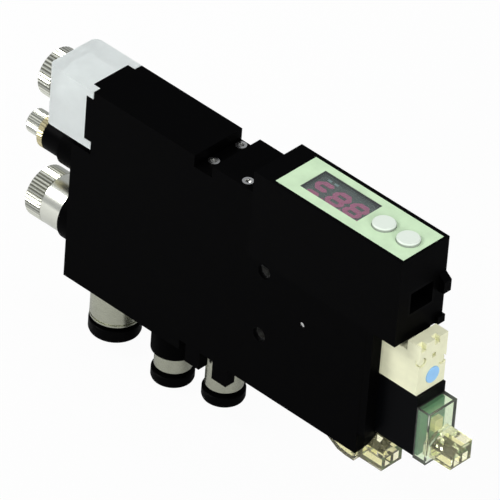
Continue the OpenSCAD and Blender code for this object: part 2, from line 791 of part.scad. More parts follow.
// Release ring: a sleeve that slides in the bore, and a collar to press.
module release_ring(x, seat, len, tube_r, collar_r, collar_h) {
    end = seat - len;
    top = end - ring_gap;
    color([0.03, 0.03, 0.03]) difference() {
        union() {
            z_cylinder(tube_r + grip_wall - running_gap, top - 0.01, end + ring_reach, x);
            z_turned([
                [top - collar_h, 0], [top - collar_h, collar_r - 0.8],
                [top - collar_h + 0.4, collar_r - 0.2], [top - collar_h + 0.9, collar_r],
                [top - 0.2, collar_r], [top, collar_r - 0.2], [top, 0]
            ], x);
        }
        z_cylinder(tube_r + running_gap, top - collar_h - 1, end + ring_reach + 1, x);
        z_turned([
            [top - collar_h - 0.01, 0], [top - collar_h - 0.01, tube_r + 0.6],
            [top - collar_h + 0.6, tube_r], [top - collar_h + 0.6, 0]
        ], x);
    }
}

// Spring-steel collet: a coned ring cut into teeth that grip the tube.
module tube_collet(x, seat, len, tube_r) {
    z0 = seat - len + collet_lift;
    difference() {
        z_turned([
            [z0, tube_r + grip_wall], [z0 + 0.3, tube_r + grip_wall],
            [z0 + 0.9, tube_r + 0.12], [z0 + 0.6, tube_r + 0.12]
        ], x);
        for (a = [0 : 45 : 135]) translate([x, mid_y, z0]) rotate([0, 0, a])
            block([-tube_r - 0.7, tube_r + 0.7], [-0.25, 0.25], [-1, 2]);
    }
}

module tube_seal(x, seat, len, tube_r) {
    end = seat - len;
    z_tube(tube_r + grip_wall, tube_r + 0.12, end + seal_lift, end + stop_lift - 0.05, x);
}

module exhaust_fitting() {
    rim = left_seat - large_body_len + 1;
    color([0.74, 0.73, 0.69]) difference() {
        fitting_body(exhaust_x, left_seat, left_stem, large_body_r, large_body_len, large_tube_r);
        z_tube(large_body_r + 1, large_body_r - 0.4, rim, rim + 0.4, exhaust_x);
    }
}

module vacuum_fitting() {
    color([0.74, 0.73, 0.69])
        fitting_body(vacuum_x, middle_seat, middle_stem, small_body_r, middle_body_len, small_tube_r);
}

module supply_fitting() {
    color([0.74, 0.73, 0.69])
        fitting_body(supply_x, right_seat, right_stem, small_body_r, right_body_len, small_tube_r);
}

module exhaust_ring() {
    release_ring(exhaust_x, left_seat, large_body_len, large_tube_r, large_collar_r, large_collar_h);
}

module vacuum_ring() {
    release_ring(vacuum_x, middle_seat, middle_body_len, small_tube_r, small_collar_r, small_collar_h);
}

module supply_ring() {
    release_ring(supply_x, right_seat, right_body_len, small_tube_r, small_collar_r, small_collar_h);
}

module tube_collets() {
    color([0.7, 0.7, 0.7]) {
        tube_collet(exhaust_x, left_seat, large_body_len, large_tube_r);
        tube_collet(vacuum_x, middle_seat, middle_body_len, small_tube_r);
        tube_collet(supply_x, right_seat, right_body_len, small_tube_r);
    }
}

module tube_seals() {
    color([0.1, 0.1, 0.1]) {
        tube_seal(exhaust_x, left_seat, large_body_len, large_tube_r);
        tube_seal(vacuum_x, middle_seat, middle_body_len, small_tube_r);
        tube_seal(supply_x, right_seat, right_body_len, small_tube_r);
    }
}

// ---- Spools -----------------------------------------------------------------------------------

// Supply spool: one groove, drilled through to its spring end.
module supply_spool() {
    x0 = spool_left + spring_len + 0.1;
    color([0.7, 0.7, 0.72]) difference() {
        x_turned([
            [x0, 0], [x0, spool_r], [port_x + 1.4, spool_r], [port_x + 1.4, 2.2], [port_x + 5.4, 2.2],
            [port_x + 5.4, spool_r], [body_right - 1, spool_r], [body_right - 1, 0]
        ], supply_spool_z);
        x_cylinder(1, x0 - 1, port_x + 4, supply_spool_z);
        z_cylinder(0.8, supply_spool_z - 4, supply_spool_z + 4, port_x + 3.4);
    }
}

// Release spool: one groove that joins its two ports once the pilot air pushes it right.
module release_spool() {
    x0 = spool_left + 1;
    x1 = body_right - spring_len - 0.1;
    color([0.7, 0.7, 0.72]) x_turned([
        [x0, 0], [x0, spool_r], [port_x - 2.1, spool_r], [port_x - 2.1, 2.2], [port_x + 2.9, 2.2],
        [port_x + 2.9, spool_r], [x1, spool_r], [x1, 0]
    ], release_spool_z);
}

module supply_spring() {
    color([0.75, 0.75, 0.75]) translate([spool_left, mid_y, supply_spool_z]) rotate([0, 90, 0])
        coil_spring(2.6, 0.3, spring_len, 5);
}

module release_spring() {
    color([0.75, 0.75, 0.75]) translate([body_right - spring_len, mid_y, release_spool_z])
        rotate([0, 90, 0]) coil_spring(2.6, 0.3, spring_len, 5);
}

// ---- Right end --------------------------------------------------------------------------------

module end_layer(x0, x1) {
    difference() {
        block([x0, x1], [-body_w, 0], [plate_bottom, deck_z]);
        x_cylinder(0.8, x0 - 1, x1 + 1, supply_spool_z);
    }
}

module end_gasket() {
    color([0.06, 0.06, 0.06]) end_layer(body_right, plate_x0);
}

module end_plate() {
    color([0.03, 0.03, 0.03]) end_layer(plate_x0, plate_x1);
}

// ---- Pressure switch --------------------------------------------------------------------------

module button_places() {
    for (x = [button_x0, button_x0 + button_pitch]) translate([x, button_y, 0]) children();
}

// Case: an open-bottomed shell on the deck, closed below past the body, with latch lugs.
module display_case() {
    bump_z = case_top - 15.5;
    color([0.03, 0.03, 0.03]) difference() {
        union() {
            block([case_x0, case_x1], [-body_w, 0], [deck_z, case_top]);
            rotate([90, 0, 0]) linear_extrude(height = 2.6) polygon([
                [case_x1 - 0.1, bump_z], [case_x1 + 2, bump_z],
                [case_x1 + 2, bump_z + 3.4], [case_x1 - 0.1, bump_z + 5]
            ]);
            block([case_x1 - 0.1, case_x1 + 1], [-2.6, 0], [deck_z, deck_z + 2.2]);
            block([case_x1 - 1.2, case_x1 + 0.6], [mid_y + 0.3, mid_y + 3.65], [deck_z - 1.5, deck_z + 1]);
        }
        block([case_x0 + case_wall, plate_x1], [case_wall - body_w, -case_wall],
              [deck_z - 1, case_top - label_t - top_plate_t]);
        block([case_x0 + case_wall, case_x1 - case_wall], [case_wall - body_w, -case_wall],
              [deck_z + case_wall, case_top - label_t - top_plate_t]);
        block([label_x0, label_x0 + label_len], [mid_y - label_w / 2, mid_y + label_w / 2],
              [case_top - label_t, case_top + 1]);
        block([window_x0, window_x0 + window_len], [window_y0, window_y0 + window_w],
              [case_top - 5, case_top + 1]);
        button_places() translate([0, 0, case_top - 5]) cylinder(r = button_r + 0.1, h = 6);
        block([case_x1 - case_wall - 1, case_x1 + 1], [mid_y - socket_w / 2, mid_y + socket_w / 2],
              [board_z - socket_h, board_z]);
        block([plate_x1 + lip_d0 - 0.3, plate_x1 + 2 * coil_d],
              [mid_y - pilot_w / 2 - 0.3, mid_y + pilot_w / 2 + 0.3],
              [deck_z - 2, base_z0 + pilot_base_h + lip_h + 0.3]);
    }
}

module label_panel() {
    color([0.81, 0.91, 0.76]) difference() {
        block([label_x0, label_x0 + label_len], [mid_y - label_w / 2, mid_y + label_w / 2],
              [case_top - label_t, case_top]);
        block([window_x0, window_x0 + window_len], [window_y0, window_y0 + window_w],
              [case_top - 5, case_top + 1]);
        button_places() translate([0, 0, case_top - 5]) cylinder(r = button_r + 0.1, h = 6);
    }
}

module display_window() {
    color([0.12, 0.16, 0.14]) block([window_x0, window_x0 + window_len],
        [window_y0, window_y0 + window_w], [case_top - label_t - top_plate_t, case_top]);
}

module digit_block() {
    color([0.2, 0.2, 0.2]) block([window_x0 - 1, window_x0 + window_len + 1],
        [window_y0 - 0.8, window_y0 + window_w + 0.8],
        [board_z + board_t, case_top - label_t - top_plate_t - 0.1]);
}

// Push button: a chamfered cap, a flange behind the top plate and a stem over its switch.
module push_button(x) {
    plate_z = case_top - label_t - top_plate_t;
    top = case_top + button_rise;
    color([0.72, 0.73, 0.72]) translate([x, button_y, 0]) rotate_extrude() polygon([
        [0, switch_top + button_travel + 0.1], [1, switch_top + button_travel + 0.1],
        [1, plate_z - 1.1], [button_r + 0.5, plate_z - 1.1], [button_r + 0.5, plate_z - face_gap],
        [button_r, plate_z - face_gap], [button_r, top - 0.3], [button_r - 0.3, top], [0, top]
    ]);
}

module button_down() {
    push_button(button_x0);
}

module button_up() {
    push_button(button_x0 + button_pitch);
}

// Circuit board with the two tact switches under the buttons.
module switch_board() {
    inner = case_wall + face_gap;
    top = board_z + board_t;
    color([0.1, 0.35, 0.2]) {
        block([case_x0 + inner, case_x1 - inner], [inner - body_w, -inner], [board_z, top]);
        for (x = [button_x0, button_x0 + button_pitch]) {
            block([x - 2.2, x + 2.2], [button_y - 2.2, button_y + 2.2], [top - 0.01, switch_top - 0.8]);
            z_cylinder(1.2, switch_top - 0.81, switch_top, x, button_y);
        }
    }
}

module pressure_sensor() {
    color([0.75, 0.75, 0.72]) {
        block([sensor_x - sensor_w / 2, sensor_x + sensor_w / 2],
              [sensor_y - sensor_front, sensor_y + sensor_back], [deck_z, board_z]);
        z_cylinder(spout_r, deck_z - spout_len, deck_z + 0.01, sensor_x, sensor_y);
    }
}

module switch_socket() {
    wall = 0.8;
    x0 = case_x1 - socket_len;
    color([0.05, 0.05, 0.05]) difference() {
        block([x0, case_x1], [mid_y - socket_w / 2, mid_y + socket_w / 2], [board_z - socket_h, board_z]);
        block([x0 + wall, case_x1 + 1], [mid_y - socket_w / 2 + wall, mid_y + socket_w / 2 - wall],
              [board_z - socket_h + wall, board_z - wall]);
    }
}

// ---- Pilot valves -----------------------------------------------------------------------------

// Places the upright and the lying valve; a valve's own axes are depth, side and height.
module upright() {
    translate([plate_x1, mid_y, base_z0]) children();
}

module lying() {
    translate([lying_joint_x, mid_y, lying_top]) rotate([180, 0, 0]) rotate([0, -90, 0]) children();
}

// Base: a block with a raised lip, the override's bore, screw recesses and the air passages.
module pilot_base() {
    half = pilot_w / 2;
    top = pilot_base_h + lip_h;
    color([0.9, 0.88, 0.78]) difference() {
        union() {
            block([0, base_d], [-half, half], [0, pilot_base_h]);
            block([lip_d0, base_d], [-half, half], [pilot_base_h - 0.01, top]);
        }
        translate([base_d - override_reach - 1, override_side, override_h]) rotate([0, 90, 0])
            cylinder(r = override_r + running_gap, h = override_reach + 2);
        for (s = [-3.7, 1.2]) block([base_d - 1.6, base_d + 1], [s - 0.9, s + 0.9], [top - 1.9, top + 1]);
        for (p = [[-3.8, 9.7], [3.8, 6.9]]) translate([base_d - 1.2, p[0], p[1]]) rotate([0, 90, 0])
            cylinder(r = 1.4, h = 3);
        block([base_d - 1.2, base_d + 1], [-0.3, 1], [9.4, 10.8]);
        translate([-1, 0, air_port_h]) rotate([0, 90, 0]) cylinder(r = 0.8, h = core_d + 1);
        translate([core_d, 0, -1]) cylinder(r = 0.8, h = air_port_h + 1);
    }
    color([0.62, 0.6, 0.5]) for (p = [[-3.8, 9.7], [3.8, 6.9]])
        translate([base_d - 1.21, p[0], p[1]]) rotate([0, 90, 0]) cylinder(r = 1.1, h = 0.8);
}

module override_button() {
    color([0.49, 0.65, 0.92]) translate([base_d - override_reach + 1, override_side, override_h])
        rotate([0, 90, 0]) cylinder(r = override_r, h = override_reach - 0.8);
}

module pilot_coil() {
    half = pilot_w / 2;
    color([0.03, 0.03, 0.03]) difference() {
        block([0, coil_d], [-half, half], [-coil_len, -face_gap]);
        translate([core_d, 0, -plunger_len - 1]) cylinder(r = plunger_r + face_gap, h = plunger_len + 2);
    }
}

module pilot_plunger() {
    color([0.7, 0.7, 0.7])
        translate([core_d, 0, -plunger_len - 0.2]) cylinder(r = plunger_r, h = plunger_len);
}

module supply_pilot_base() {
    upright() pilot_base();
}

module supply_override() {
    upright() override_button();
}

module supply_coil() {
    upright() pilot_coil();
}

module supply_plunger() {
    upright() pilot_plunger();
}

module release_pilot_base() {
    lying() pilot_base();
}

module release_override() {
    lying() override_button();
}

module release_coil() {
    lying() pilot_coil();
}

module release_plunger() {
    lying() pilot_plunger();
}

// Outline of a plug's end, seen along X, with one corner cut on the slant.
module plug_outline(bottom, tall, low, grow) {
    half = plug_w / 2 + grow;
    polygon([
        [-half, bottom - grow], [half, bottom - grow], [half, bottom + tall + grow],
        [-0.3, bottom + tall + grow], [-half, bottom + low + grow]
    ]);
}

// Extrudes an outline of [y, z] points along X.
module along_x(x0, x1) {
    translate([x0, mid_y, 0]) rotate([90, 0, 90]) linear_extrude(height = x1 - x0) children();
}

// Clear cover of the upright valve: a hollow box with a window for the plug.
module supply_pilot_cover() {
    half = pilot_w / 2;
    x1 = upright_x + pilot_cover_d;
    color([0.75, 0.88, 0.8, 0.45]) difference() {
        block([upright_x, x1], [mid_y - half, mid_y + half], [cover_z0_pilot, cover_z1_pilot]);
        block([upright_x - 1, x1 - pilot_wall], [mid_y - half + pilot_wall, mid_y + half - pilot_wall],
              [cover_z0_pilot + pilot_wall, cover_z1_pilot - pilot_wall]);
        along_x(x1 - 2, x1 + 1) plug_outline(upright_plug_z, plug_h, plug_side_h, 0.05);
    }
}

// Two square wire cavities, open at the plug's free end, and a latch slot down into one of them.
module wire_cavities(x1, z, slot_x) {
    for (y = [-1.5, 1.5])
        block([x1 - plug_len, x1 + 1], [mid_y + y - 0.95, mid_y + y + 0.95], [z, z + 2.4]);
    block([slot_x, slot_x + 2], [mid_y - 2, mid_y - 0.9], [z + 2, z + 9]);
}

module supply_plug() {
    x1 = upright_x + pilot_cover_d + plug_len;
    color([0.85, 0.82, 0.5, 0.55]) difference() {
        along_x(upright_x + pilot_cover_d - 1.8, x1) plug_outline(upright_plug_z, plug_h, plug_side_h, 0);
        wire_cavities(x1, upright_plug_z + 0.5, upright_x + pilot_cover_d + 0.8);
    }
}

// Clear cover under the lying valve: sloped at its blind end and open towards the plug.
module release_pilot_cover() {
    half = pilot_w / 2;
    low = lying_face - lying_cover_h;
    color([0.85, 0.85, 0.6, 0.5]) difference() {
        translate([0, mid_y + half, 0]) rotate([90, 0, 0]) linear_extrude(height = pilot_w) polygon([
            [lying_cover_x0, lying_face], [lying_cover_x0, lying_face - lying_blind_h],
            [lying_slope_x, low + lying_slope_rise], [lying_flat_x, low], [lying_cover_x1, low],
            [lying_cover_x1, lying_face]
        ]);
        translate([0, mid_y + half - pilot_wall, 0]) rotate([90, 0, 0])
            linear_extrude(height = pilot_w - 2 * pilot_wall) polygon([
                [lying_cover_x0 + pilot_wall, lying_face + 1],
                [lying_cover_x0 + pilot_wall, lying_face - lying_blind_h + pilot_wall / 2],
                [lying_slope_x + 0.3, low + lying_slope_rise + pilot_wall],
                [lying_flat_x, low + pilot_wall], [lying_cover_x1 - pilot_wall, low + pilot_wall],
                [lying_cover_x1 - pilot_wall, lying_face + 1]
            ]);
        block([lying_cover_x1 - 2, lying_cover_x1 + 1],
              [mid_y - plug_w / 2 - 0.05, mid_y + plug_w / 2 + 0.05],
              [low + pilot_wall, lying_face + 1]);
    }
}

module release_plug() {
    low = lying_face - lying_cover_h + pilot_wall + 0.05;
    color([0.85, 0.82, 0.5, 0.55]) difference() {
        union() {
            block([lying_cover_x1 - 1.8, body_right + pocket_gap], [mid_y - plug_w / 2, mid_y + plug_w / 2],
                  [low, lying_face - 0.05]);
            along_x(body_right, lying_plug_x1) plug_outline(low, lying_plug_h + 1.9, lying_plug_h - 0.6, 0);
        }
        wire_cavities(lying_plug_x1, low + 0.9, body_right + 0.4);
    }
}

module pilot_boards() {
    half = pilot_w / 2 - pilot_wall - 0.1;
    color([0.2, 0.5, 0.3]) {
        block([upright_x, upright_x + 1], [mid_y - half, mid_y + half],
              [cover_z0_pilot + pilot_wall + 0.1, cover_z1_pilot - pilot_wall - 0.1]);
        block([lying_cover_x0 + pilot_wall + 0.1, lying_cover_x1 - 2], [mid_y - half, mid_y + half],
              [lying_face - 1, lying_face]);
    }
}

module contact_pins() {
    pin = 0.32;
    z_up = upright_plug_z + 1.7;
    z_low = lying_face - 1;
    x_socket = case_x1 - socket_len;
    color([0.8, 0.7, 0.4]) {
        for (y = [-1.5, 1.5]) {
            block([upright_x + 1, upright_x + pilot_cover_d - 1.8], [mid_y + y - pin, mid_y + y + pin],
                  [z_up - pin, z_up + pin]);
            block([lying_cover_x0 + 6, lying_cover_x0 + 6.6], [mid_y + y - pin, mid_y + y + pin],
                  [z_low - 2, z_low]);
        }
        for (y = [-3, -1, 1, 3])
            block([x_socket + 0.8, x_socket + 4.2], [mid_y + y - pin, mid_y + y + pin],
                  [board_z - socket_h / 2 - pin, board_z - socket_h / 2 + pin]);
    }
}

valve_body();
mount_bushes();
passage_plug();
filter_block();
body_screws();
filter_cover();
cover_gasket();
filter_element();
thumb_washer();
thumb_screw();
needle_housing();
lock_nut();
needle_seal();
needle_knob();
ejector_cap();
cap_seal();
ejector_sleeve();
diffuser();
nozzle();
cartridge_seals();
check_seat();
check_disc();
check_spring();
exhaust_fitting();
vacuum_fitting();
supply_fitting();
exhaust_ring();
vacuum_ring();
supply_ring();
tube_collets();
tube_seals();
supply_spool();
release_spool();
supply_spring();
release_spring();
end_gasket();
end_plate();
display_case();
label_panel();
display_window();
digit_block();
button_down();
button_up();
switch_board();
pressure_sensor();
switch_socket();
supply_pilot_base();
supply_override();
supply_coil();
supply_plunger();
supply_pilot_cover();
supply_plug();
release_pilot_base();
release_override();
release_coil();
release_plunger();
release_pilot_cover();
release_plug();
pilot_boards();
contact_pins();
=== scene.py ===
"""Looks for the slim vacuum ejector unit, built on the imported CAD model. All lengths are in metres."""
import json
import math

import bmesh
import bpy
from mathutils import Matrix, Vector

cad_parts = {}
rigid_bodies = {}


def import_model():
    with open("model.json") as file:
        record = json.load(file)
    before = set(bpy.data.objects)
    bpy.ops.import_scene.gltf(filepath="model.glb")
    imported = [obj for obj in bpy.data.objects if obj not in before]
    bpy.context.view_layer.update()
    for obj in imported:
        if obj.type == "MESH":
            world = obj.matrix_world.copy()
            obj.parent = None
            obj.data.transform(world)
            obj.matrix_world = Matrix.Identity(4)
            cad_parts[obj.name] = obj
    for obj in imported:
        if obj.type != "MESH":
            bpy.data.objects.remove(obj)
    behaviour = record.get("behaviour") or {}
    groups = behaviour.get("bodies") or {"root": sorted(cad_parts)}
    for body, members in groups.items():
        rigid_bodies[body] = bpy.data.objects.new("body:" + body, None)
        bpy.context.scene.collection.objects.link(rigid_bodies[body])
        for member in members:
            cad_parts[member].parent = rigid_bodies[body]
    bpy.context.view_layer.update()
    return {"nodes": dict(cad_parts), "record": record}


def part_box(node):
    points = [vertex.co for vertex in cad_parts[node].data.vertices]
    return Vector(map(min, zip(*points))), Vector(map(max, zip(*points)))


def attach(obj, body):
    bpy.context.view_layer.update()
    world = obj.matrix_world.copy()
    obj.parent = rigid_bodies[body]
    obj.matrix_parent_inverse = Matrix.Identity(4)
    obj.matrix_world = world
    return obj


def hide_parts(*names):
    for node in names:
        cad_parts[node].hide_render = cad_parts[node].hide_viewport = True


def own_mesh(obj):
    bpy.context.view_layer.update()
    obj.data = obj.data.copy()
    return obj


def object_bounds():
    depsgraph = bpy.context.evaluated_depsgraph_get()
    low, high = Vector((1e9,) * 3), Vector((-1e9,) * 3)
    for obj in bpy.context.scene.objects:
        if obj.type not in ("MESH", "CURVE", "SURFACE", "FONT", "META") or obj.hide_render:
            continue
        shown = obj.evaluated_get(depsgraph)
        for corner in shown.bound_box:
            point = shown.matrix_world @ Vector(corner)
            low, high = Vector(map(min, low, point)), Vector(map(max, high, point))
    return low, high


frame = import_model()
nodes = frame["nodes"]
MM = 0.001


# ---- Camera -------------------------------------------------------------------------------------

def place_camera():
    """A long lens at the angle of a product shot: from the right, in front and above."""
    target = Vector((-15.945, -4.581, 1.148)) * MM
    azimuth = math.radians(-49.086)
    elevation = math.radians(37.489)
    roll = math.radians(4.590)
    distance = 1.9954
    away = Vector((math.cos(elevation) * math.cos(azimuth),
                   math.cos(elevation) * math.sin(azimuth),
                   math.sin(elevation)))
    right = Vector((-math.sin(azimuth), math.cos(azimuth), 0))
    up = away.cross(right)
    turned_right = right * math.cos(roll) + up * math.sin(roll)
    turned_up = away.cross(turned_right)
    matrix = Matrix((turned_right, turned_up, away)).transposed().to_4x4()
    matrix.translation = target + away * distance
    data = bpy.data.cameras.new("camera")
    data.lens = 576
    data.sensor_width = 36
    data.clip_start = 0.1
    data.clip_end = 20
    camera = bpy.data.objects.new("camera", data)
    bpy.context.scene.collection.objects.link(camera)
    camera.matrix_world = matrix
    bpy.context.scene.camera = camera


# ---- Materials ----------------------------------------------------------------------------------

class Shader:
    """A node material with one Principled shader, and helpers for its procedural detail."""

    def __init__(self, name, color, roughness, metallic=0.0, specular=0.5):
        self.material = bpy.data.materials.new(name)
        self.material.use_nodes = True
        self.tree = self.material.node_tree
        self.surface = self.tree.nodes["Principled BSDF"]
        self.color = color
        self.roughness = roughness
        self.set("Base Color", (*color, 1))
        self.set("Roughness", roughness)
        self.set("Metallic", metallic)
        self.set("Specular IOR Level", specular)
        self.place = self.tree.nodes.new("ShaderNodeTexCoord").outputs["Object"]
        self.height = None

    def set(self, socket, value):
        self.surface.inputs[socket].default_value = value

    def noise(self, scale, detail=3.0, stretch=(1, 1, 1)):
        mapping = self.tree.nodes.new("ShaderNodeMapping")
        mapping.inputs["Scale"].default_value = stretch
        self.tree.links.new(self.place, mapping.inputs["Vector"])
        node = self.tree.nodes.new("ShaderNodeTexNoise")
        node.inputs["Scale"].default_value = scale
        node.inputs["Detail"].default_value = detail
        self.tree.links.new(mapping.outputs["Vector"], node.inputs["Vector"])
        return node.outputs["Fac"]

    def ramp(self, source, low, high, start=0.3, end=0.7):
        node = self.tree.nodes.new("ShaderNodeValToRGB")
        node.color_ramp.elements[0].position = start
        node.color_ramp.elements[1].position = end
        node.color_ramp.elements[0].color = (*low, 1)
        node.color_ramp.elements[1].color = (*high, 1)
        self.tree.links.new(source, node.inputs["Fac"])
        return node.outputs["Color"]

    def vary_color(self, amount, scale, stretch=(1, 1, 1)):
        """Lets the colour wander a little darker and lighter."""
        low = tuple(max(0.0, c * (1 - amount)) for c in self.color)
        high = tuple(min(1.0, c * (1 + amount)) for c in self.color)
        source = self.noise(scale, 4, stretch)
        self.tree.links.new(self.ramp(source, low, high), self.surface.inputs["Base Color"])
        return self

    def vary_roughness(self, amount, scale, stretch=(1, 1, 1)):
        node = self.tree.nodes.new("ShaderNodeMapRange")
        node.inputs["To Min"].default_value = max(0.02, self.roughness - amount)
        node.inputs["To Max"].default_value = min(1.0, self.roughness + amount)
        self.tree.links.new(self.noise(scale, 3, stretch), node.inputs["Value"])
        self.tree.links.new(node.outputs["Result"], self.surface.inputs["Roughness"])
        return self

    def bump(self, depth, scale, stretch=(1, 1, 1), detail=2.0):
        node = self.tree.nodes.new("ShaderNodeBump")
        node.inputs["Strength"].default_value = 1
        node.inputs["Distance"].default_value = depth
        self.tree.links.new(self.noise(scale, detail, stretch), node.inputs["Height"])
        self.tree.links.new(node.outputs["Normal"], self.surface.inputs["Normal"])
        return self


def moulded(name, color, roughness=0.5, specular=0.5):
    """Moulded plastic: fine spark-eroded grain, faint colour and gloss variation."""
    return (Shader(name, color, roughness, specular=specular)
            .vary_color(0.06, 260).vary_roughness(0.06, 900).bump(0.000012, 5200))


def side_shaded_button(name, top, side, roughness):
    """A moulded button: pale on its dome, with painted shade making it greyer down its side."""
    shader = moulded(name, top, roughness)
    _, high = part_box("button_down")
    split = shader.tree.nodes.new("ShaderNodeSeparateXYZ")
    shader.tree.links.new(shader.place, split.inputs[0])
    # Painted shade: the colour goes from the pale dome colour to the darker second colour down the side, speckled
    # a little by noise.
    side_shade_height = shader.tree.nodes.new("ShaderNodeMapRange")
    side_shade_height.inputs["From Min"].default_value = high.z - 0.45 * MM
    side_shade_height.inputs["From Max"].default_value = high.z - 0.2 * MM
    shader.tree.links.new(split.outputs["Z"], side_shade_height.inputs["Value"])
    speckle = shader.noise(700, 3)
    speckled_side_shade = shader.tree.nodes.new("ShaderNodeMath")
    speckled_side_shade.operation = "MULTIPLY_ADD"
    speckled_side_shade.inputs[1].default_value = 0.12
    shader.tree.links.new(speckle, speckled_side_shade.inputs[0])
    shader.tree.links.new(side_shade_height.outputs["Result"], speckled_side_shade.inputs[2])
    shader.tree.links.new(shader.ramp(speckled_side_shade.outputs[0], side, top, 0.02, 1), shader.surface.inputs["Base Color"])
    return shader


def turned(name, color, roughness, along=(0.02, 1, 1), depth=0.000004):
    """Turned, plated metal: fine lines round the axis, and slow changes of gloss."""
    return (Shader(name, color, roughness, metallic=1.0)
            .vary_color(0.05, 500).vary_roughness(0.07, 700, along).bump(depth, 4200, along))


def knurled(name, node, ridge, knurl_shade, roughness):
    """Plated and turned about x, with painted shade darkening its knurls a little below their crests."""
    shader = turned(name, ridge, roughness, (30, 1, 1))
    tree = shader.tree
    low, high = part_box(node)
    outer = (high.z - low.z) / 2
    centre = tree.nodes.new("ShaderNodeVectorMath")
    centre.operation = "SUBTRACT"
    centre.inputs[1].default_value = ((low + high) / 2)
    tree.links.new(shader.place, centre.inputs[0])
    flat = tree.nodes.new("ShaderNodeVectorMath")
    flat.operation = "MULTIPLY"
    flat.inputs[1].default_value = (0, 1, 1)
    tree.links.new(centre.outputs["Vector"], flat.inputs[0])
    radius = tree.nodes.new("ShaderNodeVectorMath")
    radius.operation = "LENGTH"
    tree.links.new(flat.outputs["Vector"], radius.inputs[0])
    height = tree.nodes.new("ShaderNodeMapRange")
    height.inputs["From Min"].default_value = outer - 0.8 * MM
    height.inputs["From Max"].default_value = outer
    tree.links.new(radius.outputs["Value"], height.inputs["Value"])
    # Painted shade: a dark band just under the outer radius, with a little noise, stands in for the shade and dark
    # reflections in the knurl hollows.
    knurl_shade_mask = tree.nodes.new("ShaderNodeMath")
    knurl_shade_mask.operation = "MULTIPLY_ADD"
    knurl_shade_mask.inputs[1].default_value = 0.08
    tree.links.new(shader.noise(600, 3), knurl_shade_mask.inputs[0])
    tree.links.new(height.outputs["Result"], knurl_shade_mask.inputs[2])
    bands = tree.nodes.new("ShaderNodeValToRGB")
    bands.color_ramp.elements[0].position = 0.5
    bands.color_ramp.elements[0].color = (*ridge, 1)
    bands.color_ramp.elements[1].position = 0.97
    bands.color_ramp.elements[1].color = (*ridge, 1)
    bands.color_ramp.elements.new(0.6).color = (*knurl_shade, 1)
    tree.links.new(knurl_shade_mask.outputs[0], bands.inputs["Fac"])
    tree.links.new(bands.outputs["Color"], shader.surface.inputs["Base Color"])
    return shader


def clear(name, color, roughness, transmission, ior=1.45):
    shader = Shader(name, color, roughness)
    shader.set("Transmission Weight", transmission)
    shader.set("IOR", ior)
    return shader.vary_color(0.03, 300).bump(0.000006, 900)


black = moulded("black_body", (0.0009, 0.0009, 0.001), 0.5, 0.014)
black_case = moulded("black_case", (0.0009, 0.0009, 0.001), 0.44, 0.016)
black_part = moulded("black_part", (0.001, 0.001, 0.0011), 0.4, 0.02)
black_ring = moulded("black_ring", (0.001, 0.001, 0.0011), 0.36, 0.02)
black_coil = moulded("black_coil", (0.0014, 0.0016, 0.002), 0.36, 0.03)
rubber = (Shader("rubber", (0.0011, 0.0011, 0.0011), 0.8, specular=0.02)
          .vary_color(0.3, 900).vary_roughness(0.08, 1500).bump(0.00001, 4000))
steel = turned("steel", (0.74, 0.74, 0.72), 0.24, (1, 0.05, 1))
screw_steel = turned("screw_steel", (0.66, 0.66, 0.64), 0.22, (1, 1, 0.05))
# The second colour of each knurled finish is painted shade for the knurl hollows.
knurls = {name: knurled(name + "_nickel", name, (0.84, 0.85, 0.75), (0.16, 0.16, 0.12), 0.24)
          for name in ("ejector_cap", "needle_knob", "thumb_screw")}
# Painted shade: a darker copy of the knob nickel, standing in for the darker reflections the fittings show under
# the body.
shaded_fitting_metal = turned("fitting_nickel", (0.55, 0.56, 0.45), 0.26, (1, 1, 30))
nut_brass = turned("nut_brass", (0.62, 0.56, 0.34), 0.34, (30, 1, 1))
brass = turned("brass", (0.72, 0.58, 0.32), 0.3, (30, 1, 1))
aluminium = turned("aluminium", (0.75, 0.75, 0.77), 0.3, (30, 1, 1))
label = moulded("label_green", (0.55, 0.72, 0.48), 0.5, 0.3)
# The second colour is painted shade on the button's side.
button = side_shaded_button("button_grey", (0.70, 0.77, 0.68), (0.30, 0.33, 0.29), 0.4)
cream = moulded("cream", (0.86, 0.86, 0.60), 0.45)
blue = moulded("override_blue", (0.33, 0.62, 0.98), 0.4, 0.3)
board = moulded("circuit_board", (0.05, 0.22, 0.10), 0.4)
sensor = moulded("sensor_body", (0.6, 0.6, 0.56), 0.5)
fibre = Shader("filter_fibre", (0.92, 0.93, 0.91), 0.9).vary_color(0.06, 1500).bump(0.00006, 2600)
digits_back = moulded("digit_back", (0.045, 0.065, 0.062), 0.5)
cover_clear = clear("cover_clear", (0.90, 0.945, 0.925), 0.28, 0.4)
window = clear("window", (0.66, 0.74, 0.72), 0.05, 0.94)
pilot_clear = clear("pilot_clear", (0.90, 0.97, 0.82), 0.04, 0.96)
plug_clear = clear("plug_clear", (0.95, 0.93, 0.68), 0.06, 0.95)
pin_metal = turned("pin_metal", (0.72, 0.58, 0.28), 0.3, (30, 1, 1))
lamp_yellow = moulded("lamp_yellow", (0.80, 0.72, 0.42), 0.35)
lamp_grey = moulded("lamp_grey", (0.30, 0.42, 0.44), 0.35)

